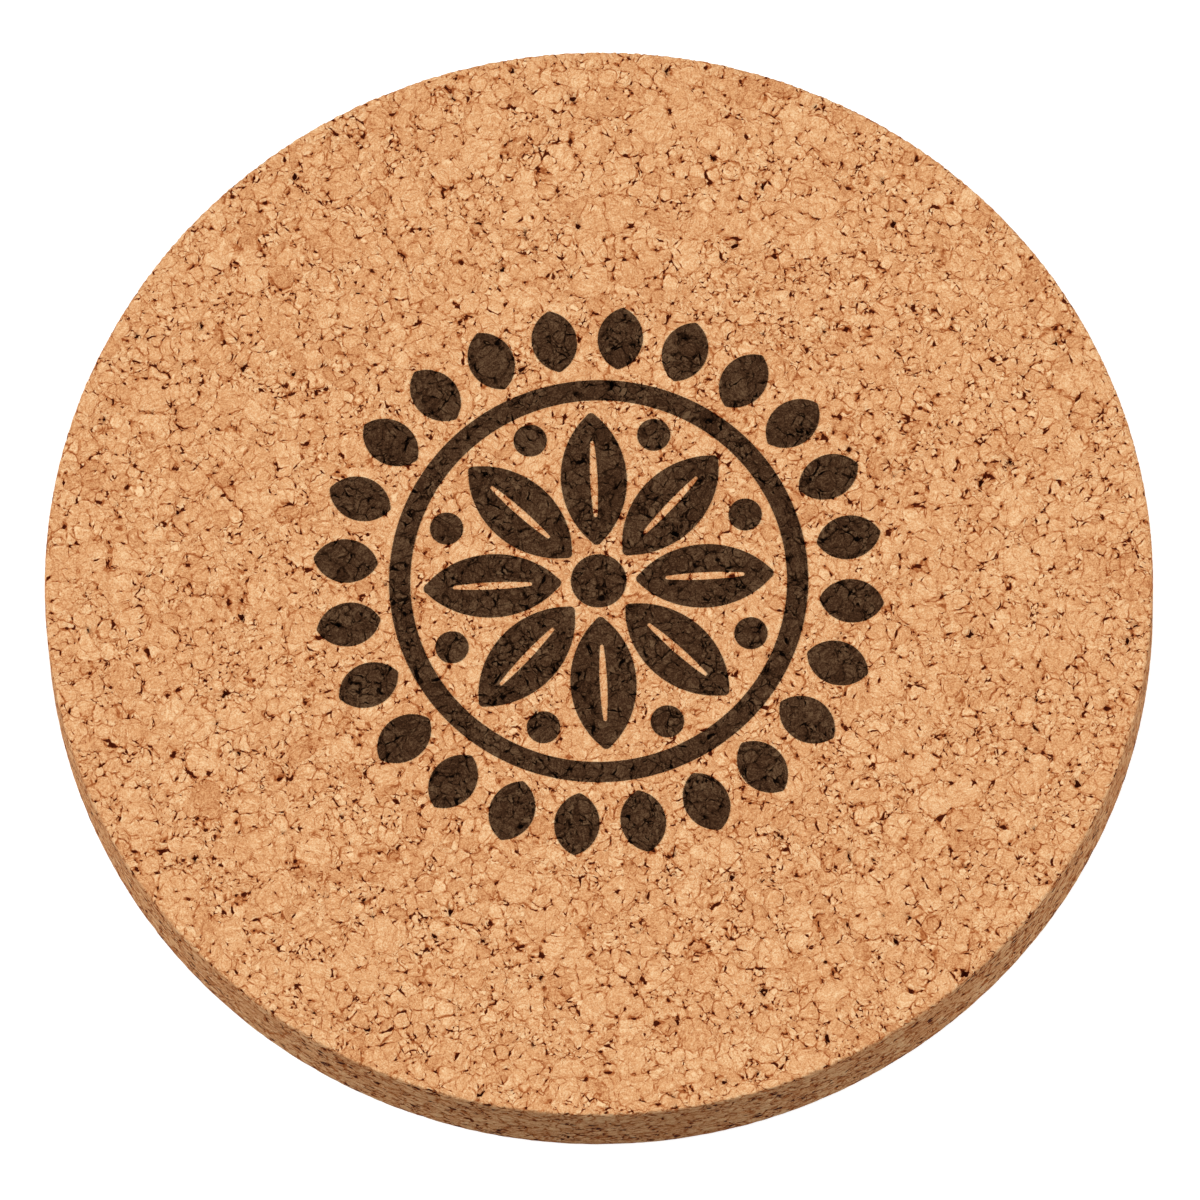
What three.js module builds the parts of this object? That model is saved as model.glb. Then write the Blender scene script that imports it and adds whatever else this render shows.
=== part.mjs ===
// A round cork coaster with a printed rosette, in millimetres, +Z up.
// The origin is the middle of the underside, so the coaster stands on z = 0.
import * as THREE from "three";

// The cork disc, die-cut from a pressed sheet of cork granules
const DISC_DIAMETER = 100;
const DISC_THICKNESS = 10;
const EDGE_ROUND = 0.4; // the cut edges are nearly sharp
const DISC_SIDES = 128;
const EDGE_STEPS = 4;

// The print is a film of cured ink lying on the cork's upper face
const FILM_THICKNESS = 0.1;

// The rosette, from its middle outwards
const HUB_RADIUS = 2.5;
const HUB_GAP = 0.9; // from the hub to the petals
const PETAL_COUNT = 8;
const PETAL_LENGTH = 12.4;
const PETAL_SPACING = 1.4; // between neighbours where they are widest
const PETAL_TIP_RADIUS = 0.45;
const VEIN_WIDTH = 0.7; // the slit of bare cork along the middle of a petal
const VEIN_MARGIN = 2.6; // ink left at each end of the slit
const RING_GAP = 1.2; // from the petals' tips to the ring
const RING_WIDTH = 1.9;
const BEAD_RADIUS = 1.5;
const BEAD_GAP = 0.9; // from the beads to the ring round them
const LEAF_COUNT = 24;
const LEAF_GAP = 1.1; // from the ring to the leaves
const LEAF_LENGTH = 5.8;
const LEAF_SPACING = 1.9; // between neighbours where they are widest
const LEAF_TIP_RADIUS = 0.4;
const ARC_STEPS = 5; // the print's curves have twice as many straight steps
const RING_STEPS = 32;

// Where each band of the rosette begins, measured from the middle
const PETAL_START = HUB_RADIUS + HUB_GAP;
const RING_INNER = PETAL_START + PETAL_LENGTH + RING_GAP;
const RING_OUTER = RING_INNER + RING_WIDTH;
const BEAD_CENTRE = RING_INNER - BEAD_GAP - BEAD_RADIUS;
const LEAF_START = RING_OUTER + LEAF_GAP;

const cork = new THREE.MeshStandardMaterial({ color: 0xd79d6c, roughness: 0.9, metalness: 0 });
const ink = new THREE.MeshStandardMaterial({ color: 0x432d1d, roughness: 0.75, metalness: 0 });

// Half a section of the disc, from the middle of the underside out and back to the axis.
function discProfile() {
  const corner = DISC_DIAMETER / 2 - EDGE_ROUND;
  const points = [new THREE.Vector2(0, 0)];
  const arcs = [
    { height: EDGE_ROUND, from: -Math.PI / 2 },
    { height: DISC_THICKNESS - EDGE_ROUND, from: 0 },
  ];
  for (const { height, from } of arcs) {
    for (let step = 0; step <= EDGE_STEPS; step++) {
      const angle = from + (step / EDGE_STEPS) * (Math.PI / 2);
      points.push(
        new THREE.Vector2(corner + EDGE_ROUND * Math.cos(angle), height + EDGE_ROUND * Math.sin(angle)),
      );
    }
  }
  points.push(new THREE.Vector2(0, DISC_THICKNESS));
  return points;
}

function corkDisc() {
  const geometry = new THREE.LatheGeometry(discProfile(), DISC_SIDES);
  geometry.rotateX(Math.PI / 2);
  const mesh = new THREE.Mesh(geometry, cork);
  mesh.name = "cork_disc";
  return mesh;
}

// An almond: two equal arcs that meet at tips rounded to tipRadius. It lies along +X from start.
function almond(Outline, start, length, width, tipRadius) {
  const halfLength = length / 2 - tipRadius;
  const halfWidth = width / 2 - tipRadius;
  const sideRadius = (halfLength ** 2 + halfWidth ** 2) / (2 * halfWidth);
  const offset = sideRadius - halfWidth;
  const halfSweep = Math.asin(halfLength / sideRadius);
  const middle = start + length / 2;
  const quarter = Math.PI / 2;
  const outline = new Outline();
  outline.absarc(middle, offset, sideRadius + tipRadius, -quarter - halfSweep, -quarter + halfSweep);
  outline.absarc(middle + halfLength, 0, tipRadius, -quarter + halfSweep, quarter - halfSweep);
  outline.absarc(middle, -offset, sideRadius + tipRadius, quarter - halfSweep, quarter + halfSweep);
  outline.absarc(middle - halfLength, 0, tipRadius, quarter + halfSweep, 3 * quarter - halfSweep);
  return outline;
}

function circle(Outline, radius) {
  const outline = new Outline();
  outline.absarc(0, 0, radius, 0, 2 * Math.PI);
  return outline;
}

// The width that leaves spacing between neighbours in a ring of count almonds.
function almondWidth(start, length, count, spacing) {
  return 2 * (start + length / 2) * Math.sin(Math.PI / count) - spacing;
}

function filmGeometry(outline, steps) {
  return new THREE.ExtrudeGeometry(outline, {
    depth: FILM_THICKNESS,
    bevelEnabled: false,
    curveSegments: steps,
  });
}

function hubGeometry() {
  return filmGeometry(circle(THREE.Shape, HUB_RADIUS), 2 * ARC_STEPS);
}

function petalGeometry() {
  const width = almondWidth(PETAL_START, PETAL_LENGTH, PETAL_COUNT, PETAL_SPACING);
  const outline = almond(THREE.Shape, PETAL_START, PETAL_LENGTH, width, PETAL_TIP_RADIUS);
  const veinStart = PETAL_START + VEIN_MARGIN;
  const veinLength = PETAL_LENGTH - 2 * VEIN_MARGIN;
  outline.holes.push(almond(THREE.Path, veinStart, veinLength, VEIN_WIDTH, VEIN_WIDTH / 4));
  return filmGeometry(outline, ARC_STEPS);
}

function beadGeometry() {
  const geometry = filmGeometry(circle(THREE.Shape, BEAD_RADIUS), 2 * ARC_STEPS);
  geometry.translate(BEAD_CENTRE, 0, 0);
  return geometry;
}

function ringGeometry() {
  const outline = circle(THREE.Shape, RING_OUTER);
  outline.holes.push(circle(THREE.Path, RING_INNER));
  return filmGeometry(outline, RING_STEPS);
}

function leafGeometry() {
  const width = almondWidth(LEAF_START, LEAF_LENGTH, LEAF_COUNT, LEAF_SPACING);
  return filmGeometry(almond(THREE.Shape, LEAF_START, LEAF_LENGTH, width, LEAF_TIP_RADIUS), ARC_STEPS);
}

// One island of ink, turned about the coaster's axis to its place.
function island(name, geometry, angle) {
  const mesh = new THREE.Mesh(geometry, ink);
  mesh.name = name;
  mesh.rotation.z = angle;
  return mesh;
}

// A ring of equal islands, numbered from 1. The first stands the given share of a pitch past +Y.
function islandRing(name, geometry, count, firstPitch) {
  const group = new THREE.Group();
  const pitch = (2 * Math.PI) / count;
  for (let index = 0; index < count; index++) {
    const angle = Math.PI / 2 + (index + firstPitch) * pitch;
    group.add(island(`${name}_${index + 1}`, geometry, angle));
  }
  return group;
}

function rosette() {
  const group = new THREE.Group();
  group.position.z = DISC_THICKNESS;
  group.add(island("print_hub", hubGeometry(), 0));
  group.add(islandRing("print_petal", petalGeometry(), PETAL_COUNT, 0));
  group.add(islandRing("print_bead", beadGeometry(), PETAL_COUNT, 0.5));
  group.add(island("print_ring", ringGeometry(), 0));
  group.add(islandRing("print_leaf", leafGeometry(), LEAF_COUNT, 0.5));
  return group;
}

const coaster = new THREE.Group();
coaster.add(corkDisc(), rosette());

export default coaster;
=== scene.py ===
"""The looks of a round cork coaster with a printed rosette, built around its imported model.

The cork is one mesh. One set of node functions works out its granules, joints, slits and pits, and is used
twice: geometry nodes lower the surface with it, and the material colours the surface. The ink is a film that
follows the cork's relief.
"""

import math

import bpy
import numpy as np
from mathutils import Euler, Matrix, Vector
from mathutils.geometry import delaunay_2d_cdt
from mathutils.kdtree import KDTree


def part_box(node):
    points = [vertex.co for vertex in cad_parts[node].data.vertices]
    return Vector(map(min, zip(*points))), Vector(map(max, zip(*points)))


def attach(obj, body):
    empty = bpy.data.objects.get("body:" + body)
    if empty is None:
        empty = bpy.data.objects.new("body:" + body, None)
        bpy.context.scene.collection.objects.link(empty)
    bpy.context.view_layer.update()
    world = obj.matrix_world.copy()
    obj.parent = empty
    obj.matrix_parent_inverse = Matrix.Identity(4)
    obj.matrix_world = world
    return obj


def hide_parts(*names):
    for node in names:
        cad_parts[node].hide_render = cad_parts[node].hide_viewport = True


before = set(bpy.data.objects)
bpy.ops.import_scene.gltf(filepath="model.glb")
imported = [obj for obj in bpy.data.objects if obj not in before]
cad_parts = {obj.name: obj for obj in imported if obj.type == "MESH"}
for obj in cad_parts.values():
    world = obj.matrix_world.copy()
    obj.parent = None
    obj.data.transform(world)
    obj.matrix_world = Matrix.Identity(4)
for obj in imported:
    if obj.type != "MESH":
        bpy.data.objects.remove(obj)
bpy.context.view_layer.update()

MM = 0.001

# The cork's mesh
FINE_STEP = 0.18 * MM  # between points in and beside joints and pits
COARSE_EVERY = 3  # elsewhere, one fine point in this many stays along a row, and one row in this many
RIM_STEP = 0.2 * MM  # round the upper edge
CLEAR_OF_RIM = 0.4 * MM  # room for chips
RIM_BAND = 0.9 * MM  # how far in from the rim points stay close together
EDGE_ROWS = 2  # rings of close points on the wall, below the upper edge
WALL_STEP = 0.5 * MM
UNDERSIDE_STEP = 1.6 * MM
OUTLINE_STEP = 0.22 * MM  # along the edges of the print
EDGE_ROUND = 0.18 * MM
EDGE_STEPS = 2
CLEAR_OF_OUTLINE = 0.6  # of a fine step
SAME_PLACE = 0.0001  # millimetres
QUARTERS = 4  # the wall is painted in four strips

# The ink's film, above the cork's own surface
FILM_UNDER = 0.005 * MM
FILM_OVER = 0.05 * MM
FILM_SHARP = math.radians(60)

# Granules, in millimetres: how far apart they lie, the share of places that hold one, the gap left round
# each, and how far one reaches from its middle
LARGE, LARGE_SHARE, LARGE_GAP, LARGE_REACH = 3.1, 0.46, 0.12, 1.9
MIDDLE, MIDDLE_SHARE, MIDDLE_GAP, MIDDLE_REACH = 1.3, 0.6, 0.02, 0.9
SMALL = 0.6
PIT_SHARE = 0.010  # of the small granules have fallen out
# Torn-out granules on the cut wall are painted shade only: the wall has no relief for them
TORN_SHARE = 0.12  # of those at the cut wall were torn out
PRESSED_FLAT = 1.4  # granules are this much wider than tall
MIDDLE_SHIFT = (17.3, 5.1, 9.7)  # the shifts keep the cells of the three sizes from lining up
SMALL_SHIFT = (3.9, 21.7, 4.4)
FAR = 9.0  # a distance at which no joint shows
NOISE_MEAN = 0.5

# What makes the granules' outlines uneven: the size of each noise and how far it moves them, in millimetres
BEND_SIZE, BEND = 1.8, 1.0
WOBBLE_SIZE = 0.36
LARGE_WOBBLE, MIDDLE_WOBBLE, SMALL_WOBBLE, PIT_WOBBLE = 0.15, 0.2, 0.3, 0.3
PIT_EDGE, TORN_EDGE = (0.08, 0.13), (0.02, 0.06)  # between these distances from a cell's edge a pit begins

# How open a joint is: the size of a wide and of a fine noise, in millimetres, and the weight of the wide one
PATCH_SIZE = 1.1
OPENING_SIZE, PATCH_WEIGHT = 0.55, 0.9
SMALL_OPENING_SIZE, SMALL_PATCH_WEIGHT = 0.34, 0.5

# How open a joint is where each kind of mark begins, and where it is full
JOINT_LINE, SMALL_LINE = (-0.1, 0.15), (-0.08, 0.18)
SLIT, SMALL_SLIT = (0.23, 0.31), (0.17, 0.23)
GAPING = (0.36, 0.50)

# Depths of the relief, in millimetres
PIT_DEPTH = 0.45
JOINT_DEPTH = 0.10
JOINT_REACH = 0.22
CLOSED_JOINT = 0.3  # of a groove's depth, where the joint isn't open
SLIT_DEPTH = 0.13
SLIT_REACH = 0.1
GAPE = 0.07  # how much further the edges of the widest slits lie from the joint
CHIP_DEPTH, CHIP_LENGTH, CHIP_HEIGHT = 0.10, 0.55, 0.4
CRUMBS = (0.42, 0.62)  # of a noise: below these no chip, above them a whole one
SHOWS_IN_MESH = 0.03  # shallower relief needs no fine points
CUT_NARROW = 0.4  # joints are torn wider on the cut wall: distances to them count only this much there

# How much a normal points up: from the underside to the wall, from the wall to the face, and near the face
NOT_BELOW = (-0.9, -0.5)
OFF_WALL = (0.3, 0.8)
ON_FACE = (0.985, 0.9999)

# Shade at joints: the distances in millimetres between which it fades, the least and the most on lines,
# and the most in slits
LINE_FADES, LINE_SHADE = (0.0, 0.08), (0.05, 0.43)
SMALL_LINE_FADES, SMALL_LINE_SHADE = (0.0, 0.07), (0.04, 0.53)
SLIT_FADES, SMALL_SLIT_FADES, SLIT_SHADE = (0.02, 0.09), (0.04, 0.09), 0.95
SPECKS, SPECK_SHADE = (-0.32, -0.24), 0.8  # the lowest places of the grain

# Tones from 0, dark, to 1, pale: those of the granules, and what is added to them in some places
LARGE_TONES, MIDDLE_TONES, SMALL_TONES = (0.50, 0.73), (0.51, 0.74), (0.50, 0.76)
DARK_GRANULES, DARK_TONE = (0.08, 0.14), -0.08
# A few small granules are pale crumbs, painted brighter also as highlights where crumbs catch the light
BRIGHT_GRANULES, BRIGHT_EDGE, BRIGHT_TONE = (0.95, 0.97), (0.06, 0.12), 0.3
# Painted shade: each granule darker towards its edges, as if rounded
EDGE_SHADE_FADES, EDGE_SHADE_TONE = (0.0, 0.22), -0.10
# Painted highlights beside slits, where torn edges catch the light: where they rise and fade, and how much
# paler they make the cork
HIGHLIGHT_RISES, HIGHLIGHT_FADES, HIGHLIGHT_TONE = (0.11, 0.15), (0.17, 0.25), 0.4
SWIRL_SIZE, SWIRL_TONE = 0.6, 0.45
CREASE_WIDTH, CREASE_TONE = 0.022, -0.25
GRAIN_SIZE, GRAIN_ROUGHNESS, GRAIN_TONE = 0.15, 0.8, 1.5
# Painted highlights: pale flecks on the highest places of the grain
HIGHLIGHT_FLECKS, HIGHLIGHT_FLECK_TONE = (0.17, 0.25), 0.4
STREAK_SQUASH, STREAK_SIZE, STREAK_TONE = (6.0, 1.0, 1.0), 1.0, 0.7
STREAK_AXIS, STREAK_TURN = (0.5, 0.3, 0.8), 40.0  # each granule is turned by up to this many radians

# Relief too fine for the mesh, in millimetres, and how strongly it shows
STEP_BUMP, GRAIN_BUMP, SWIRL_BUMP = 0.10, 0.12, 0.12
GROOVE_REACH, GROOVE_BUMP = 0.09, -0.06
BUMP, SMALL_BUMP = 0.35, 0.5

# Roughness, from dark tones to pale ones
ROUGH_TONES, ROUGHNESS = (0.2, 0.9), (0.95, 0.8)

# The camera, fitted to the outline of the disc in the photograph
PHOTO_SIDE = 1200
DISC_PIXELS = 1107  # the disc's width there
MIDDLE_PIXEL = (599.4, 596.5)  # the middle of the disc there
ELEVATION = math.radians(73.6)
ROLL = math.radians(-2.7)
LENS = 1000.0  # a very long lens: the photograph shows almost no perspective
SENSOR = 36.0
SIGHT = 10.0  # metres that the camera sees

# Light on the upper face, where 1 shows a white surface as white, and its sources
TOP_LIGHT = 1.23
SKY, UNDER_SKY = 0.67, 0.11
LEFT_SUN, LEFT_TURN = 2.3, math.radians(-95)
RIGHT_SUN, RIGHT_TURN = 1.8, math.radians(92)
SUN_HEIGHT = math.radians(30)
SUN_WIDTH = math.radians(40)
HORIZON = 0.05  # half the height over which the sky changes
WHITE = (1.0, 1.0, 1.0, 1.0)
FLOOR_SIDE = 4.0
FLOOR_WHITE = 0.9
FLOOR_GLOW = 0.4  # the floor is lit from below too, so that hardly a shadow shows, as in the photograph


def seen(red, green, blue):
    """The surface colour that shows on the lit upper face as a screen colour from 0 to 255."""
    def linear(value):
        share = value / 255
        return share / 12.92 if share <= 0.04045 else ((share + 0.055) / 1.055) ** 2.4
    return (linear(red) / TOP_LIGHT, linear(green) / TOP_LIGHT, linear(blue) / TOP_LIGHT, 1.0)


class Graph:
    """Adds nodes to one node tree. Inputs may be numbers, vectors or sockets."""

    def __init__(self, tree):
        self.tree = tree

    def feed(self, socket, value):
        if isinstance(value, bpy.types.NodeSocket):
            self.tree.links.new(value, socket)
        else:
            socket.default_value = value

    def node(self, kind, inputs=None, **settings):
        made = self.tree.nodes.new(kind)
        for name, value in settings.items():
            setattr(made, name, value)
        for name, value in (inputs or {}).items():
            self.feed(made.inputs[name], value)
        return made

    def math(self, operation, first, second=0.0):
        return self.node("ShaderNodeMath", {0: first, 1: second}, operation=operation).outputs[0]

    def add(self, *values):
        total = values[0]
        for value in values[1:]:
            total = self.math("ADD", total, value)
        return total

    def times(self, *values):
        product = values[0]
        for value in values[1:]:
            product = self.math("MULTIPLY", product, value)
        return product

    def less(self, first, second):
        return self.math("SUBTRACT", first, second)

    def vector(self, operation, first, second=(0.0, 0.0, 0.0)):
        return self.node("ShaderNodeVectorMath", {0: first, 1: second}, operation=operation).outputs[0]

    def shifted(self, *vectors):
        total = vectors[0]
        for vector in vectors[1:]:
            total = self.vector("ADD", total, vector)
        return total

    def scaled(self, vector, factor):
        inputs = {0: vector, "Scale": factor}
        return self.node("ShaderNodeVectorMath", inputs, operation="SCALE").outputs[0]

    def parts(self, vector):
        return self.node("ShaderNodeSeparateXYZ", {0: vector}).outputs

    def joined(self, x, y, z):
        return self.node("ShaderNodeCombineXYZ", {0: x, 1: y, 2: z}).outputs[0]

    def smooth(self, value, low, high, at_low=0.0, at_high=1.0):
        """Goes smoothly from at_low to at_high while value goes from low to high."""
        inputs = {"Value": value, "From Min": low, "From Max": high, "To Min": at_low, "To Max": at_high}
        return self.node("ShaderNodeMapRange", inputs, interpolation_type="SMOOTHSTEP").outputs[0]

    def fading(self, value, low, high, at_low=1.0):
        """Goes smoothly from at_low to zero while value goes from low to high."""
        return self.smooth(value, low, high, at_low, 0.0)

    def choose(self, share, at_zero, at_one):
        return self.node("ShaderNodeMix", {0: share, 2: at_zero, 3: at_one}, data_type="FLOAT").outputs[0]

    def tinted(self, first, second):
        inputs = {0: 1.0, 6: first, 7: second}
        return self.node("ShaderNodeMix", inputs, data_type="RGBA", blend_type="MULTIPLY").outputs[2]

    def ramp(self, value, stops):
        made = self.node("ShaderNodeValToRGB", {0: value})
        elements = made.color_ramp.elements
        while len(elements) < len(stops):
            elements.new(0.5)
        for element, (position, colour) in zip(elements, stops):
            element.position = position
            element.color = colour
        return made.outputs[0]

    def noise(self, place, size, detail, roughness=0.6, output=0):
        inputs = {"Vector": place, "Scale": 1 / size, "Detail": detail, "Roughness": roughness}
        return self.node("ShaderNodeTexNoise", inputs).outputs[output]

    def noise_vector(self, place, size, detail):
        """Three numbers between about -0.5 and 0.5."""
        return self.vector("SUBTRACT", self.noise(place, size, detail, output=1), (NOISE_MEAN,) * 3)

    def noise_around_zero(self, place, size, detail, roughness=0.6):
        """A number between about -0.5 and 0.5."""
        return self.less(self.noise(place, size, detail, roughness), NOISE_MEAN)

    def cells(self, place, size):
        """Cells of about one size: the cell's three random numbers, and how far its edge and middle are."""
        inputs = {"Vector": place, "Scale": 1 / size}
        nearest = self.node("ShaderNodeTexVoronoi", inputs, feature="F1")
        edge = self.node("ShaderNodeTexVoronoi", inputs, feature="DISTANCE_TO_EDGE")
        distances = [self.times(made.outputs["Distance"], size) for made in (edge, nearest)]
        return self.parts(nearest.outputs["Color"]), *distances


def bend(g, place):
    """Bends and squashes space, so that granules get uneven outlines and lie flat. In millimetres."""
    flat = g.vector("MULTIPLY", place, (1.0, 1.0, PRESSED_FLAT))
    return g.shifted(flat, g.scaled(g.noise_vector(flat, BEND_SIZE, detail=1.0), BEND))


def inside(g, there, edge, middle, gap, reach):
    """How far a point lies inside a granule's rounded outline, or below zero, outside it."""
    outside = g.less(-gap, edge)
    return g.choose(there, outside, g.math("MINIMUM", g.less(edge, gap), g.less(reach, middle)))


def large_granules(g, bent):
    """How far inside a large granule a point lies, the granule's tone, and how open the joints are here."""
    numbers, edge, middle = g.cells(bent, LARGE)
    there = g.math("LESS_THAN", numbers[0], LARGE_SHARE)
    within = inside(g, there, edge, middle, LARGE_GAP, LARGE_REACH)
    return g.joined(within, numbers[2], g.noise(bent, PATCH_SIZE, detail=1.0))


def small_granules(g, bent):
    """The small granules' numbers and edges, and the fine wobble that makes them uneven."""
    wobble = g.noise_vector(bent, WOBBLE_SIZE, detail=0.0)
    numbers, edge, _ = g.cells(g.shifted(bent, g.scaled(wobble, SMALL_WOBBLE), SMALL_SHIFT), SMALL)
    return numbers, edge, wobble


def granules(g, bent, large):
    """The cork's fields at a point, from its bent place and the large granules' numbers there."""
    large_inside, large_tone, opening = g.parts(large)
    small, small_edge, wobble_vector = small_granules(g, bent)
    wobble = g.parts(wobble_vector)

    large_inside = g.add(large_inside, g.times(wobble[2], LARGE_WOBBLE))
    is_large = g.math("GREATER_THAN", large_inside, 0.0)
    not_large = g.less(1.0, is_large)
    place = g.shifted(bent, g.scaled(wobble_vector, MIDDLE_WOBBLE), MIDDLE_SHIFT)
    middle, middle_edge, middle_middle = g.cells(place, MIDDLE)
    middle_there = g.times(g.math("LESS_THAN", middle[0], MIDDLE_SHARE), not_large)
    middle_inside = inside(g, middle_there, middle_edge, middle_middle, MIDDLE_GAP, MIDDLE_REACH)
    is_middle = g.math("GREATER_THAN", middle_inside, 0.0)
    is_small = g.less(not_large, is_middle)

    # Joints are thin lines that open here and there into slits.
    joint_near = g.math("MINIMUM", g.math("ABSOLUTE", large_inside), g.math("ABSOLUTE", middle_inside))
    patch = g.less(opening, NOISE_MEAN)
    opens = g.noise_around_zero(bent, OPENING_SIZE, detail=0.0)
    openness = g.add(opens, g.times(patch, PATCH_WEIGHT))
    small_opens = g.noise_around_zero(bent, SMALL_OPENING_SIZE, detail=0.0)
    small_openness = g.add(small_opens, g.times(patch, SMALL_PATCH_WEIGHT))
    fallen = g.times(g.math("LESS_THAN", small[1], PIT_SHARE), is_small)
    torn = g.times(g.math("LESS_THAN", small[1], TORN_SHARE), is_small)
    hollow = g.smooth(g.add(small_edge, g.times(wobble[2], PIT_WOBBLE)), *PIT_EDGE)
    return {
        "is_large": is_large,
        "is_middle": is_middle,
        "is_small": is_small,
        "large_tone": large_tone,
        "middle_tone": middle[2],
        "small_tone": small[2],
        "small_bright": g.smooth(small[0], *BRIGHT_GRANULES),
        "small_edge": small_edge,
        "joint_near": joint_near,
        "joint_line": g.smooth(openness, *JOINT_LINE),
        "slit": g.smooth(openness, *SLIT),
        "slit_near": g.less(joint_near, g.smooth(openness, *GAPING, 0.0, GAPE)),
        "small_line": g.smooth(small_openness, *SMALL_LINE),
        "small_slit": g.smooth(small_openness, *SMALL_SLIT),
        "pit": g.times(fallen, hollow),
        # painted shade of the holes of torn-out granules on the wall, with no relief
        "torn_pit_shade": g.times(torn, g.smooth(small_edge, *TORN_EDGE)),
    }


def relief_depth(g, fields):
    """How far the surface lies below its flat face, in millimetres, in pits, slits and along joints."""
    groove = g.fading(fields["joint_near"], 0.0, JOINT_REACH)
    groove = g.times(groove, g.choose(fields["slit"], CLOSED_JOINT, 1.0))
    slit = g.times(g.fading(fields["slit_near"], 0.0, SLIT_REACH), fields["slit"])
    return g.add(
        g.times(fields["pit"], PIT_DEPTH),
        g.times(groove, JOINT_DEPTH),
        g.times(slit, SLIT_DEPTH),
    )


def chips(g, top):
    """The inward shift of points where crumbs have broken off the upper edge."""
    position = g.node("GeometryNodeInputPosition").outputs[0]
    upright = g.parts(g.node("GeometryNodeInputNormal").outputs[0])[2]
    across = g.vector("MULTIPLY", position, (1.0, 1.0, 0.0))
    outward = g.vector("NORMALIZE", across)
    crumbs = g.smooth(g.noise(g.scaled(across, 1 / MM), CHIP_LENGTH, detail=1.0), *CRUMBS)
    off_face = g.fading(upright, *ON_FACE)
    near_top = g.smooth(g.parts(position)[2], top - CHIP_HEIGHT * MM, top - EDGE_ROUND)
    return g.scaled(outward, g.times(crumbs, off_face, near_top, -CHIP_DEPTH * MM))


def relief_group(top):
    """Geometry nodes that store the cork's fields on the points and move them to the relief."""
    tree = bpy.data.node_groups.new("cork_relief", "GeometryNodeTree")
    for direction in ("INPUT", "OUTPUT"):
        tree.interface.new_socket("Geometry", in_out=direction, socket_type="NodeSocketGeometry")
    g = Graph(tree)
    geometry = g.node("NodeGroupInput").outputs[0]

    def store(geometry, name, value, kind):
        inputs = {"Geometry": geometry, "Name": name, "Value": value}
        return g.node("GeometryNodeStoreNamedAttribute", inputs, data_type=kind).outputs[0]

    def stored(name, kind):
        return g.node("GeometryNodeInputNamedAttribute", {"Name": name}, data_type=kind).outputs[0]

    position = g.node("GeometryNodeInputPosition").outputs[0]
    geometry = store(geometry, "bent", bend(g, g.scaled(position, 1 / MM)), "FLOAT_VECTOR")
    bent = stored("bent", "FLOAT_VECTOR")
    geometry = store(geometry, "large", large_granules(g, bent), "FLOAT_VECTOR")
    normal = g.node("GeometryNodeInputNormal").outputs[0]
    not_below = g.smooth(g.parts(normal)[2], *NOT_BELOW)
    depth = g.times(relief_depth(g, granules(g, bent, stored("large", "FLOAT_VECTOR"))), not_below)
    geometry = store(geometry, "depth", depth, "FLOAT")
    offset = g.shifted(g.scaled(normal, g.times(stored("depth", "FLOAT"), -MM)), chips(g, top))
    geometry = g.node("GeometryNodeSetPosition", {"Geometry": geometry, "Offset": offset}).outputs[0]
    g.feed(g.node("NodeGroupOutput").inputs[0], geometry)
    return tree


def with_relief(mesh, group):
    """The mesh after the geometry nodes have run on it."""
    holder = bpy.data.objects.new("holder", mesh)
    bpy.context.scene.collection.objects.link(holder)
    holder.modifiers.new("relief", "NODES").node_group = group
    depsgraph = bpy.context.evaluated_depsgraph_get()
    evaluated = holder.evaluated_get(depsgraph)
    made = bpy.data.meshes.new_from_object(evaluated, preserve_all_data_layers=True, depsgraph=depsgraph)
    bpy.data.objects.remove(holder)
    return made


def read_numbers(mesh, name):
    """A number stored on each point."""
    values = np.empty(len(mesh.vertices), dtype=np.float32)
    mesh.attributes[name].data.foreach_get("value", values)
    return values


def read_vectors(mesh, name):
    """A vector stored on each point, such as its position."""
    values = np.empty(3 * len(mesh.vertices), dtype=np.float32)
    mesh.attributes[name].data.foreach_get("vector", values)
    return values.reshape(-1, 3)


def write_vectors(mesh, name, values):
    stored = mesh.attributes.new(name, "FLOAT_VECTOR", "POINT")
    stored.data.foreach_set("vector", np.asarray(values, dtype=np.float32).ravel())


def write_bake_map(mesh, places):
    """The flat layout that an export paints the material on: one place for each corner of each face."""
    layer = mesh.uv_layers.new(name="OFBake")
    layer.data.foreach_set("uv", np.asarray(places, dtype=np.float32).ravel())


def new_mesh(name, points, faces):
    mesh = bpy.data.meshes.new(name)
    mesh.from_pydata([tuple(point) for point in points], [], faces)
    return mesh


def outlines(node):
    """The closed outlines of a flat node's lower face, in metres, the widest first."""
    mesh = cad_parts[node].data
    unit = SAME_PLACE * MM
    points = np.round(read_vectors(mesh, "position") / unit).astype(int)
    lowest = points[:, 2].min()
    edges = set()
    for face in mesh.polygons:
        corners = [tuple(points[index]) for index in face.vertices]
        if all(corner[2] == lowest for corner in corners):
            edges.update(zip(corners, corners[1:] + corners[:1]))
    following = {start: end for start, end in edges if (end, start) not in edges}
    loops = []
    while following:
        loop = [min(following)]
        while loop[-1] in following:
            loop.append(following.pop(loop[-1]))
        loops.append(counterclockwise(np.array(loop[:-1])[:, :2] * unit))
    return sorted(loops, key=lambda loop: -np.ptp(loop, axis=0).max())


def counterclockwise(loop):
    ahead = np.roll(loop, -1, axis=0)
    turning = (loop[:, 0] * ahead[:, 1] - loop[:, 1] * ahead[:, 0]).sum()
    return loop if turning > 0 else loop[::-1]


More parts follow.
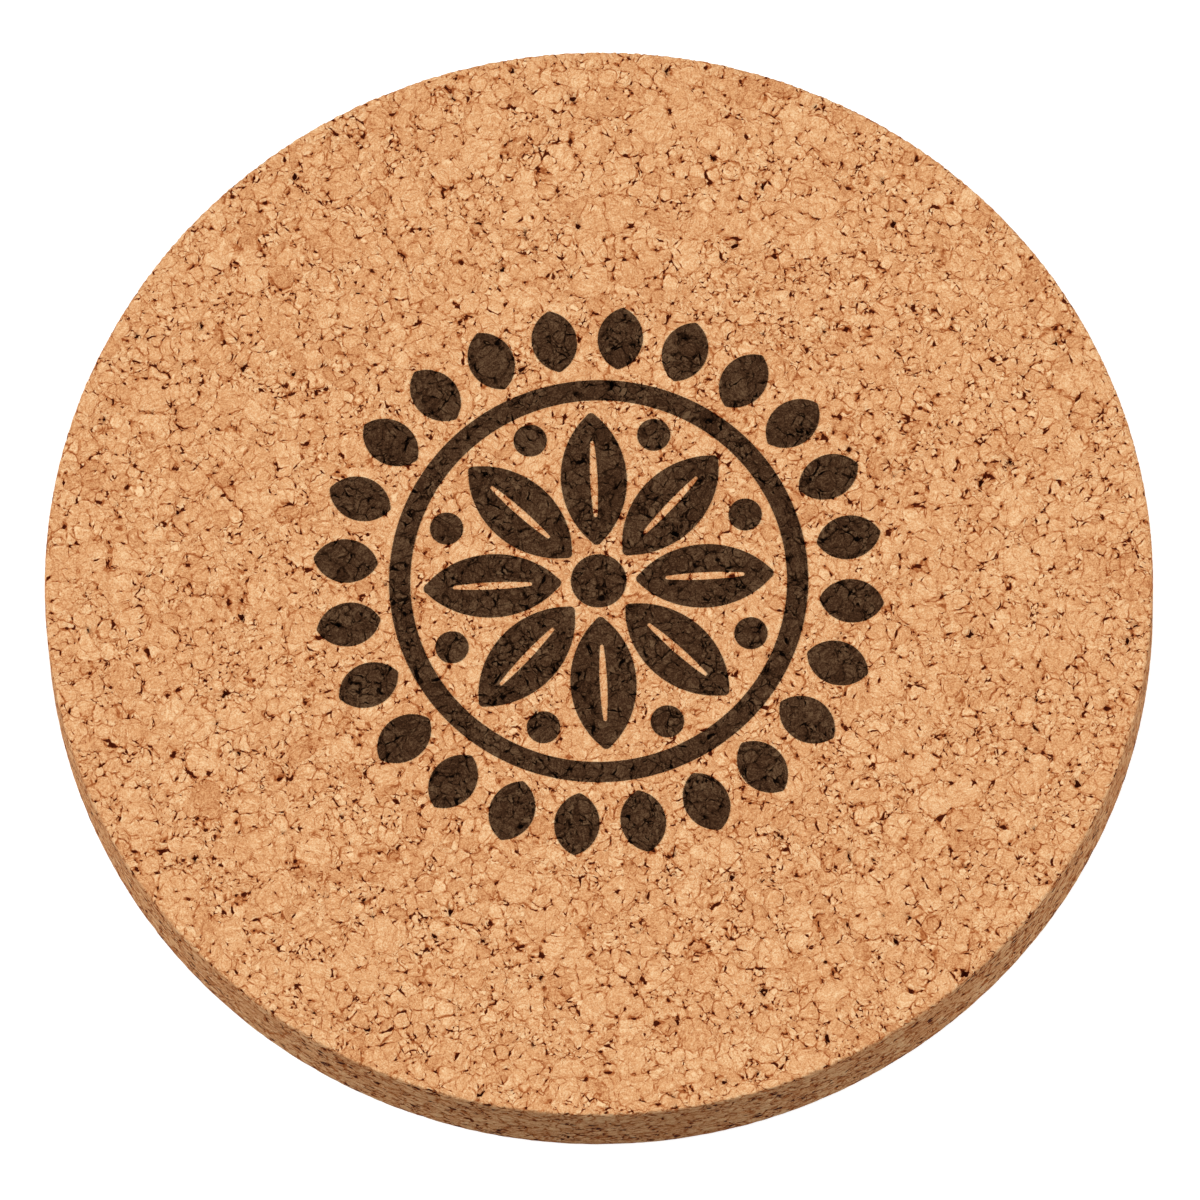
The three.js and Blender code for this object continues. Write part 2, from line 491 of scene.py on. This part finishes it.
def rounded(loop, step):
    """A closed smooth curve through the corners of an outline, as points about a step apart."""
    ahead = np.roll(loop, -1, axis=0)
    span = np.linalg.norm(ahead - loop, axis=1)
    slope = (ahead - np.roll(loop, 1, axis=0)) / (span + np.roll(span, 1))[:, None]
    curve = []
    for index, start in enumerate(loop):
        count = max(1, round(span[index] / step))
        share = (np.arange(count) / count)[:, None]
        leave = slope[index] * span[index]
        arrive = slope[(index + 1) % len(loop)] * span[index]
        curve.append(
            (2 * share**3 - 3 * share**2 + 1) * start
            + (share**3 - 2 * share**2 + share) * leave
            + (3 * share**2 - 2 * share**3) * ahead[index]
            + (share**3 - share**2) * arrive
        )
    return np.concatenate(curve)


def circle(radius, count):
    angle = np.arange(count) * 2 * math.pi / count
    return np.stack([radius * np.cos(angle), radius * np.sin(angle)], 1)


def lattice(radius, step):
    """Points of a triangular lattice inside a circle, and whether each belongs to the coarse lattice."""
    height = step * math.sqrt(3) / 2
    row_reach = int(radius / height)
    column_reach = int(radius / step) + 1
    rows, columns = np.mgrid[-row_reach:row_reach + 1, -column_reach:column_reach + 1]
    points = np.stack([(columns + 0.5 * (rows % 2)) * step, rows * height], -1).reshape(-1, 2)
    coarse = ((rows % COARSE_EVERY == 0) & (columns % COARSE_EVERY == 0)).ravel()
    within = np.hypot(points[:, 0], points[:, 1]) < radius
    return points[within], coarse[within]


def top_points(radius, height, group, borders):
    """Points of the upper face: close together where there is relief, and none on top of the borders."""
    fine, coarse = lattice(radius - CLEAR_OF_RIM, FINE_STEP)
    flat = new_mesh("lattice", np.column_stack([fine, np.full(len(fine), height)]), [])
    measured = with_relief(flat, group)
    deep = read_numbers(measured, "depth") > SHOWS_IN_MESH
    deep |= np.hypot(fine[:, 0], fine[:, 1]) > radius - RIM_BAND
    tree = KDTree(len(borders))
    for index, point in enumerate(borders):
        tree.insert((*point, 0.0), index)
    tree.balance()
    clear = CLEAR_OF_OUTLINE * FINE_STEP
    return np.array([point for point in fine[coarse | deep] if tree.find((*point, 0.0))[2] > clear])


def triangulated(points, loops=()):
    """Delaunay triangles that keep the loops' edges.

    Returns the places, the triangles, the loops round each triangle, and the places' new numbers.
    """
    flat = [Vector(point) for point in points / MM]
    places, _, triangles, sources, _, around = delaunay_2d_cdt(flat, [], list(loops), 0, SAME_PLACE, True)
    renumbered = {old: new for new, olds in enumerate(sources) for old in olds}
    return np.array([tuple(place) for place in places]) * MM, triangles, around, renumbered


def wall_rings(radius, height):
    """The wall's rings of points, from the rim of the upper face down to that of the underside.

    Each is a distance out, a height and the points in a quarter turn. The upper edge has the most.
    """
    turn = np.linspace(0, math.pi / 2, EDGE_STEPS + 1)
    inward = EDGE_ROUND * (1 - np.sin(turn))
    inset = EDGE_ROUND * (1 - np.cos(turn))
    quarter = math.tau * radius / QUARTERS
    fine, coarse = round(quarter / RIM_STEP), round(quarter / WALL_STEP)
    band = height - EDGE_ROUND - RIM_STEP * np.arange(1, EDGE_ROWS + 1)
    rows = round((band[-1] - EDGE_ROUND) / WALL_STEP)
    rings = [(radius - back, height - drop, fine) for back, drop in zip(inward, inset)]
    rings += [(radius, level, fine) for level in band]
    rings += [(radius, level, coarse) for level in np.linspace(band[-1], EDGE_ROUND, rows + 1)[1:-1]]
    rings += [(radius - back, drop, coarse) for back, drop in zip(inward[::-1], inset[::-1])]
    return rings


def wall_triangles(rings, numbers):
    """Triangles between the rings, and for each corner its quarter and how far along and down it lies."""
    section = np.array([ring[:2] for ring in rings])
    down = np.concatenate([[0], np.cumsum(np.linalg.norm(np.diff(section, axis=0), axis=1))])
    quarter = math.tau * section[:, 0].max() / QUARTERS
    spots = [(row, column) for row, ring in enumerate(rings) for column in range(ring[2] + 1)]
    unrolled = np.array([(quarter * column / rings[row][2], -down[row]) for row, column in spots])
    _, triangles, _, renumbered = triangulated(unrolled)
    spot_at = {new: spots[old] for old, new in renumbered.items()}

    def point(strip, row, column):
        ring = numbers[row]
        return ring[(strip * rings[row][2] + column) % len(ring)]

    faces, corners = [], []
    for strip in range(QUARTERS):
        for triangle in triangles:
            around = [spot_at[corner] for corner in triangle]
            faces.append([point(strip, row, column) for row, column in around])
            corners += [(strip, column / rings[row][2], down[row] / down[-1]) for row, column in around]
    return faces, np.array(corners)


def cork_map(places, top, wall_corners, under, radius):
    """Where the cork's faces lie on its bake map: two discs, with the wall's strips beside them."""
    top_middle, top_size = 0.385, 0.37
    under_middle, under_size = 0.81, 0.18
    strip_start, strip_first, strip_pitch = 0.01, 0.785, 0.1
    strip_length, strip_height = 0.58, 0.076
    flat = places[:, :2] / radius
    upper = flat[np.array(top).ravel()] * top_size + top_middle
    lower = flat[np.array(under).ravel()] * under_size + under_middle
    strip, along, down = wall_corners.T
    across = strip_start + strip_length * along
    upward = strip_first + strip_pitch * (strip % 2) + strip_height * (1 - down)
    turned = strip >= 2
    wall = np.column_stack([np.where(turned, upward, across), np.where(turned, across, upward)])
    return np.concatenate([upper, wall, lower])


def cork_mesh(radius, height, group, loops):
    """The cork with its relief, and for each triangle of its upper face the print's loops round it."""
    rings = wall_rings(radius, height)
    circles = [circle(out, QUARTERS * count) for out, _, count in rings]
    rim, lower_rim = circles[0], circles[-1]
    borders = np.concatenate(loops)
    inner = top_points(rings[0][0], height, group, borders)
    starts = len(rim) + np.cumsum([0] + [len(loop) for loop in loops])
    numbered = [list(range(start, start + len(loop))) for start, loop in zip(starts, loops)]
    upper, top, round_each, upper_number = triangulated(np.concatenate([rim, borders, inner]), numbered)
    lower_inner, _ = lattice(rings[-1][0] - 0.5 * UNDERSIDE_STEP, UNDERSIDE_STEP)
    lower, under, _, lower_number = triangulated(np.concatenate([lower_rim, lower_inner]))

    rows = [np.column_stack([upper, np.full(len(upper), height)])]
    numbers = [[upper_number[index] for index in range(len(rim))]]
    total = len(upper)
    for ring, (_, level, _) in zip(circles[1:-1], rings[1:-1]):
        rows.append(np.column_stack([ring, np.full(len(ring), level)]))
        numbers.append(range(total, total + len(ring)))
        total += len(ring)
    rows.append(np.column_stack([lower, np.zeros(len(lower))]))
    numbers.append([total + lower_number[index] for index in range(len(lower_rim))])
    under = [[total + index for index in reversed(face)] for face in under]
    wall, wall_corners = wall_triangles(rings, numbers)

    places = np.concatenate(rows)
    mesh = new_mesh("cork", places, top + wall + under)
    write_bake_map(mesh, cork_map(places, top, wall_corners, under, radius))
    made = with_relief(mesh, group)
    made.shade_smooth()
    return made, top, round_each


def film_map(over, top, border_count):
    """Where a film's faces lie on its bake map: upper face large, sides in a strip, underside small."""
    top_side, under_side, margin = 0.9, 0.045, 0.01
    side_low, side_high, under_start = 0.925, 0.94, 0.95
    low = over[:, :2].min(axis=0)
    flat = ((over[:, :2] - low) / np.ptp(over[:, :2], axis=0).max())[top]
    upper = margin + top_side * flat.reshape(-1, 2)
    lower = under_start + under_side * flat[:, ::-1].reshape(-1, 2)
    start = margin + top_side * np.arange(border_count) / border_count
    end = start + top_side / border_count
    low, high = np.full(border_count, side_low), np.full(border_count, side_high)
    sides = np.stack([start, low, end, low, end, high, start, high], 1).reshape(-1, 2)
    return np.concatenate([upper, lower, sides])


def film_mesh(name, triangles, cork):
    """A closed film over some triangles of the cork's upper face."""
    used, numbers = np.unique(np.array(triangles), return_inverse=True)
    top = numbers.reshape(-1, 3)
    count = len(used)
    surface = read_vectors(cork, "position")[used]
    over = surface + (0, 0, FILM_OVER)
    under = surface + (0, 0, FILM_UNDER)
    edges = {(int(face[side]), int(face[side - 2])) for face in top for side in range(3)}
    border = sorted((start, end) for start, end in edges if (end, start) not in edges)
    sides = [(start + count, end + count, end, start) for start, end in border]
    faces = top.tolist() + (top[:, ::-1] + count).tolist() + sides
    mesh = new_mesh(name, np.concatenate([over, under]), faces)
    for field in ("bent", "large"):
        values = read_vectors(cork, field)[used]
        write_vectors(mesh, field, np.concatenate([values, values]))
    write_bake_map(mesh, film_map(over, top, len(border)))
    mesh.shade_smooth()
    mesh.set_sharp_from_angle(angle=FILM_SHARP)
    return mesh


def darkness(g, fields, grain):
    """How deep in shade a point lies: 0 on a granule, 1 in a pit, and a little less in a wide slit."""
    upright = g.math("ABSOLUTE", g.parts(g.node("ShaderNodeNewGeometry").outputs["Normal"])[2])
    narrow = g.smooth(upright, *OFF_WALL, CUT_NARROW, 1.0)
    joint_near = g.times(fields["joint_near"], narrow)
    slit_near = g.times(fields["slit_near"], narrow)
    small_near = g.times(g.choose(fields["is_small"], FAR, fields["small_edge"]), narrow)
    shades = [
        g.times(g.fading(joint_near, *LINE_FADES), g.choose(fields["joint_line"], *LINE_SHADE)),
        g.times(g.fading(slit_near, *SLIT_FADES, SLIT_SHADE), fields["slit"]),
        g.times(g.fading(small_near, *SMALL_LINE_FADES), g.choose(fields["small_line"], *SMALL_LINE_SHADE)),
        g.times(g.fading(small_near, *SMALL_SLIT_FADES, SLIT_SHADE), fields["small_slit"]),
        g.times(g.fading(upright, *OFF_WALL), fields["torn_pit_shade"]),
    ]
    deepest = g.math("MAXIMUM", fields["pit"], g.fading(grain, *SPECKS, SPECK_SHADE))
    for shade in shades:
        deepest = g.math("MAXIMUM", deepest, shade)
    return deepest


def granule_tone(g, fields):
    """How pale a granule is, with painted shade towards its edges. A few of the larger ones are darker, and
    a few of the small ones bright.
    """
    # pale crumbs, with a painted highlight where they catch the light
    bright = g.times(fields["small_bright"], g.smooth(fields["small_edge"], *BRIGHT_EDGE), BRIGHT_TONE)
    return g.add(
        g.times(fields["is_large"], g.choose(fields["large_tone"], *LARGE_TONES)),
        g.times(fields["is_middle"], g.choose(fields["middle_tone"], *MIDDLE_TONES)),
        g.times(fields["is_large"], g.fading(fields["large_tone"], *DARK_GRANULES, DARK_TONE)),
        g.times(fields["is_middle"], g.fading(fields["middle_tone"], *DARK_GRANULES, DARK_TONE)),
        g.times(fields["is_small"], g.choose(fields["small_tone"], *SMALL_TONES)),
        g.times(fields["is_small"], bright),
        # painted shade, darker towards each granule's edge
        g.fading(fields["joint_near"], *EDGE_SHADE_FADES, EDGE_SHADE_TONE),
    )


def slit_highlights(g, fields):
    """Painted highlights beside slits, standing in for their torn edges catching the light."""
    def beside(near, slit):
        return g.times(g.smooth(near, *HIGHLIGHT_RISES), g.fading(near, *HIGHLIGHT_FADES), slit)
    small_near = g.choose(fields["is_small"], FAR, fields["small_edge"])
    large_highlights = beside(fields["slit_near"], fields["slit"])
    return g.math("MAXIMUM", large_highlights, beside(small_near, fields["small_slit"]))


def streaks(g, fields, bent):
    """The layers of cells in each granule, which lie in a direction of its own."""
    own = g.add(
        g.times(fields["is_large"], fields["large_tone"]),
        g.times(fields["is_middle"], fields["middle_tone"]),
        g.times(fields["is_small"], fields["small_tone"]),
    )
    inputs = {"Vector": bent, "Axis": STREAK_AXIS, "Angle": g.times(own, STREAK_TURN)}
    turned = g.node("ShaderNodeVectorRotate", inputs, rotation_type="AXIS_ANGLE").outputs[0]
    squashed = g.vector("MULTIPLY", turned, STREAK_SQUASH)
    return g.noise_around_zero(squashed, STREAK_SIZE, detail=1.0)


def fine_bump(g, fields, bent, swirl, grain):
    """Relief too fine for the mesh: the small granules' steps and joints, and the grain of the cells."""
    numbers, edge, _ = small_granules(g, bent)
    step = g.times(numbers[0], STEP_BUMP)
    groove = g.fading(edge, 0.0, GROOVE_REACH, GROOVE_BUMP)
    height = g.add(step, groove, g.times(grain, GRAIN_BUMP), g.times(swirl, SWIRL_BUMP))
    strength = g.choose(fields["is_small"], BUMP, SMALL_BUMP)
    return g.node("ShaderNodeBump", {"Height": height, "Distance": MM, "Strength": strength}).outputs[0]


def granular_material(name, tones, shades, shine):
    """A material that shows the granules: tones from dark to pale, and tints from light into shade."""
    made = bpy.data.materials.new(name)
    made.use_nodes = True
    made.node_tree.nodes.clear()
    g = Graph(made.node_tree)
    bent = g.node("ShaderNodeAttribute", attribute_name="bent").outputs["Vector"]
    large = g.node("ShaderNodeAttribute", attribute_name="large").outputs["Vector"]
    fields = granules(g, bent, large)
    swirl = g.noise_around_zero(bent, SWIRL_SIZE, detail=2.0)
    grain = g.noise_around_zero(bent, GRAIN_SIZE, detail=2.0, roughness=GRAIN_ROUGHNESS)
    tone = g.add(
        granule_tone(g, fields),
        # painted highlights beside slits
        g.times(slit_highlights(g, fields), HIGHLIGHT_TONE),
        g.times(swirl, SWIRL_TONE),
        g.fading(g.math("ABSOLUTE", swirl), 0.0, CREASE_WIDTH, CREASE_TONE),
        g.times(grain, GRAIN_TONE),
        # painted highlights on the grain's highest places
        g.smooth(grain, *HIGHLIGHT_FLECKS, 0.0, HIGHLIGHT_FLECK_TONE),
        g.times(streaks(g, fields, bent), STREAK_TONE),
    )
    shader = g.node("ShaderNodeBsdfPrincipled", {
        "Base Color": g.tinted(g.ramp(tone, tones), g.ramp(darkness(g, fields, grain), shades)),
        "Roughness": g.smooth(tone, *ROUGH_TONES, *ROUGHNESS),
        "Specular IOR Level": shine,
        "Normal": fine_bump(g, fields, bent, swirl, grain),
    })
    g.node("ShaderNodeOutputMaterial", {"Surface": shader.outputs[0]})
    return made


def cork_material():
    """Tan granules with brown joints."""
    tones = [(0.0, seen(174, 101, 54)), (0.55, seen(226, 166, 113)), (1.0, seen(249, 209, 161))]
    shades = [
        (0.0, WHITE),
        (0.25, (0.71, 0.49, 0.34, 1.0)),
        (0.5, (0.43, 0.20, 0.10, 1.0)),
        (0.75, (0.22, 0.056, 0.021, 1.0)),
        (1.0, (0.06, 0.013, 0.004, 1.0)),
    ]
    return granular_material("cork", tones, shades, shine=0.04)


def ink_material():
    """Dark brown ink that lets the granules under it show."""
    tones = [(0.0, seen(27, 12, 5)), (0.55, seen(70, 45, 28)), (1.0, seen(108, 82, 58))]
    shades = [
        (0.0, WHITE),
        (0.2, (0.42, 0.38, 0.34, 1.0)),
        (0.45, (0.17, 0.14, 0.12, 1.0)),
        (1.0, (0.03, 0.02, 0.015, 1.0)),
    ]
    return granular_material("ink", tones, shades, shine=0.02)


def add_piece(name, mesh, material, node):
    piece = bpy.data.objects.new(name, mesh)
    bpy.context.scene.collection.objects.link(piece)
    mesh.materials.append(material)
    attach(piece, "root")
    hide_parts(node)


def coaster():
    """The cork and the print's films, each in place of its node."""
    _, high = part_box("cork_disc")
    prints = sorted(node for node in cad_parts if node.startswith("print_"))
    loops, owners = [], []
    for node in prints:
        for index, loop in enumerate(outlines(node)):
            loops.append(rounded(loop, OUTLINE_STEP))
            owners.append((node, index == 0))
    cork, top, round_each = cork_mesh(high.x, high.z, relief_group(high.z), loops)
    add_piece("cork_body", cork, cork_material(), "cork_disc")

    inked = {node: [] for node in prints}
    for triangle, around in zip(top, round_each):
        covered = {owners[index][0] for index in around if owners[index][1]}
        holed = {owners[index][0] for index in around if not owners[index][1]}
        for node in covered - holed:
            inked[node].append(triangle)
    ink = ink_material()
    for node, triangles in inked.items():
        name = node.replace("print_", "ink_")
        add_piece(name, film_mesh(name, triangles, cork), ink, node)


def add_sun(name, strength, turn):
    """A wide soft light. Turn 0 is the camera's side, and the right is positive."""
    light = bpy.data.lights.new(name, "SUN")
    light.energy = strength
    light.angle = SUN_WIDTH
    sun = bpy.data.objects.new(name, light)
    sun.rotation_euler = Euler((math.pi / 2 - SUN_HEIGHT, 0.0, turn))
    bpy.context.scene.collection.objects.link(sun)


def add_sky():
    """Even light from above, and less from below the horizon."""
    world = bpy.data.worlds.new("studio")
    world.use_nodes = True
    world.node_tree.nodes.clear()
    g = Graph(world.node_tree)
    direction = g.node("ShaderNodeTexCoord").outputs["Generated"]
    strength = g.smooth(g.parts(direction)[2], -HORIZON, HORIZON, UNDER_SKY, SKY)
    background = g.node("ShaderNodeBackground", {"Color": WHITE, "Strength": strength})
    g.node("ShaderNodeOutputWorld", {"Surface": background.outputs[0]})
    bpy.context.scene.world = world


def add_floor():
    material = bpy.data.materials.new("floor")
    material.use_nodes = True
    shader = material.node_tree.nodes["Principled BSDF"]
    shader.inputs["Base Color"].default_value = (FLOOR_WHITE, FLOOR_WHITE, FLOOR_WHITE, 1.0)
    shader.inputs["Roughness"].default_value = 1.0
    shader.inputs["Emission Color"].default_value = WHITE
    shader.inputs["Emission Strength"].default_value = FLOOR_GLOW
    shader.inputs["Specular IOR Level"].default_value = 0.0
    half = FLOOR_SIDE / 2
    corners = [(-half, -half, 0.0), (half, -half, 0.0), (half, half, 0.0), (-half, half, 0.0)]
    floor = bpy.data.objects.new("floor", new_mesh("floor", corners, [(0, 1, 2, 3)]))
    floor.data.materials.append(material)
    floor.visible_diffuse = False  # its white doesn't light the wall, which is dark in front
    bpy.context.scene.collection.objects.link(floor)


def add_camera():
    low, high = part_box("cork_disc")
    middle = (low + high) / 2
    width = (high.x - low.x) * PHOTO_SIDE / DISC_PIXELS
    distance = width * LENS / SENSOR
    lens = bpy.data.cameras.new("camera")
    lens.lens = LENS
    lens.sensor_width = SENSOR
    lens.clip_end = SIGHT
    lens.shift_x = (PHOTO_SIDE / 2 - MIDDLE_PIXEL[0]) / PHOTO_SIDE
    lens.shift_y = (MIDDLE_PIXEL[1] - PHOTO_SIDE / 2) / PHOTO_SIDE
    camera = bpy.data.objects.new("camera", lens)
    aim = Euler((math.pi / 2 - ELEVATION, 0.0, 0.0)).to_matrix()
    camera.matrix_world = Matrix.LocRotScale(
        middle + aim @ Vector((0.0, 0.0, distance)), aim @ Matrix.Rotation(ROLL, 3, "Z"), None
    )
    bpy.context.scene.collection.objects.link(camera)
    bpy.context.scene.camera = camera


add_camera()
coaster()
add_floor()
add_sky()
add_sun("left", LEFT_SUN, LEFT_TURN)
add_sun("right", RIGHT_SUN, RIGHT_TURN)
bpy.context.scene.view_settings.view_transform = "Standard"
